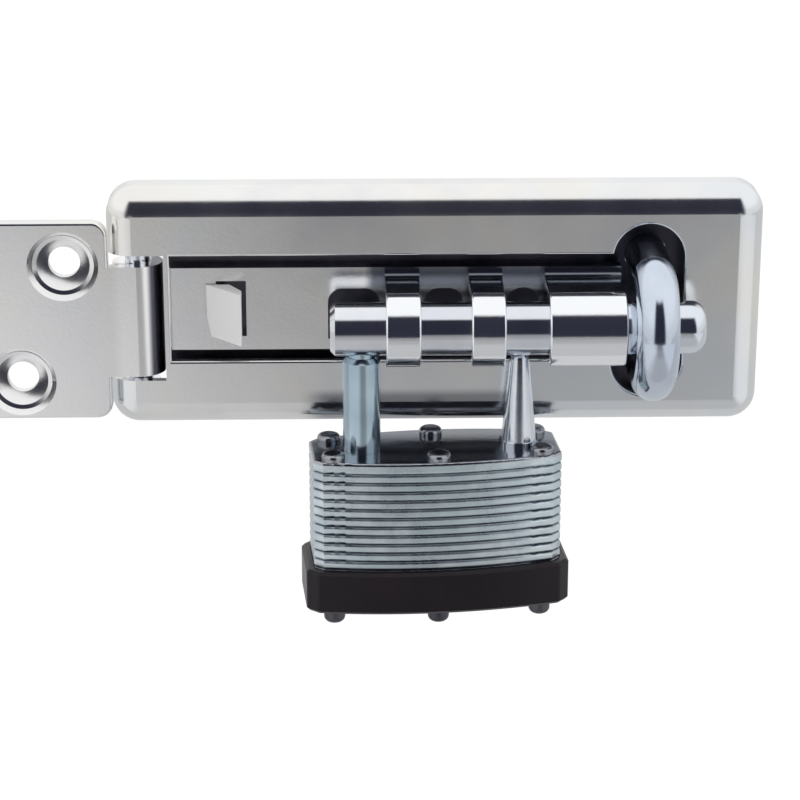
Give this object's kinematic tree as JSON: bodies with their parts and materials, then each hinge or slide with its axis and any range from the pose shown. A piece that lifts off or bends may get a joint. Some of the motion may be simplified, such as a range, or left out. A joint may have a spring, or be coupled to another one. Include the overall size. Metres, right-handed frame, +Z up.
{
  "type": "locking hasp with laminated lock",
  "caption": "Hinged door hasp whose sliding bolt passes through a staple, locked by a swivelling laminated lock body that hangs on the bolt's leg.",
  "frame": {"origin": "middle of the staple's base plate, on the plane of the wall it is fixed to", "axes": "+X along the hasp from the hinge leaf to the staple, +Z up, +Y into the wall, so the front faces -Y"},
  "size_m": [0.1526, 0.0274, 0.0712],
  "materials": {
    "pressed_steel": "bright zinc plating over pressed sheet",
    "polished_steel": "polished hardened steel, bluish bright plating",
    "plate_steel": "stamped steel plates, satin",
    "rivet_steel": "headed steel rivets",
    "bumper_plastic": "black moulded plastic, faintly glossy",
    "cylinder_brass": "machined brass",
    "spring_steel": "plain spring steel"
  },
  "bodies": {
    "cover": {"cover_plate": "pressed_steel", "hinge_pin": "polished_steel", "upper_pin_clip": "pressed_steel", "lower_pin_clip": "pressed_steel", "hasp_strap": "pressed_steel", "backing_plate": "pressed_steel", "staple_eye": "polished_steel", "staple_base": "pressed_steel"},
    "leaf": {"hinge_leaf": "pressed_steel"},
    "bolt": {"locking_bolt": "polished_steel", "leg_cross_pin": "rivet_steel"},
    "leg": {"heel_leg": "polished_steel"},
    "lock": {"toe_post": "polished_steel", "body_top_plate": "plate_steel", "lamination_01": "plate_steel", "lamination_02": "plate_steel", "lamination_03": "plate_steel", "lamination_04": "plate_steel", "lamination_05": "plate_steel", "lamination_06": "plate_steel", "lamination_07": "plate_steel", "lamination_08": "plate_steel", "lamination_09": "plate_steel", "lamination_10": "plate_steel", "lamination_11": "plate_steel", "lamination_12": "plate_steel", "lamination_13": "plate_steel", "lamination_14": "plate_steel", "body_bottom_plate": "plate_steel", "body_rivets": "rivet_steel", "bumper": "bumper_plastic", "cylinder_housing": "cylinder_brass", "driver_pins": "cylinder_brass", "pin_springs": "spring_steel", "lever_spring": "spring_steel"},
    "plug": {"key_plug": "cylinder_brass", "key_pins": "cylinder_brass"},
    "lever": {"locking_lever": "spring_steel"}
  },
  "joints": [
    {"name": "leaf_hinge", "type": "hinge", "parent": "cover", "child": "leaf", "pos_m": [-0.0849, -0.0043, 0], "axis": [0, 0, 1], "range_deg": [0, 90]},
    {"name": "bolt_slide", "type": "slide", "parent": "cover", "child": "bolt", "axis": [-1, 0, 0], "range_m": [0, 0.0144]},
    {"name": "lock_swivel", "type": "hinge", "parent": "bolt", "child": "leg", "pos_m": [-0.0478, -0.0153, 0], "axis": [0, 0, -1], "range_deg": [0, 180]},
    {"name": "body_drop", "type": "slide", "parent": "leg", "child": "lock", "axis": [0, 0, -1], "range_m": [0, 0.0151]},
    {"name": "key_turn", "type": "hinge", "parent": "lock", "child": "plug", "pos_m": [-0.03565, -0.01424, -0.036], "axis": [0, 0, 1], "range_deg": [0, 90]},
    {"name": "lever_draw", "type": "slide", "parent": "lock", "child": "lever", "axis": [0.9962, 0.0872, 0], "range_m": [0, 0.0011]}
  ],
  "couplings": [
    {"joint": "bolt_slide", "follows": "body_drop", "ratio": 0.9536},
    {"joint": "key_turn", "follows": "lever_draw", "rad_per_m": 1410}
  ]
}
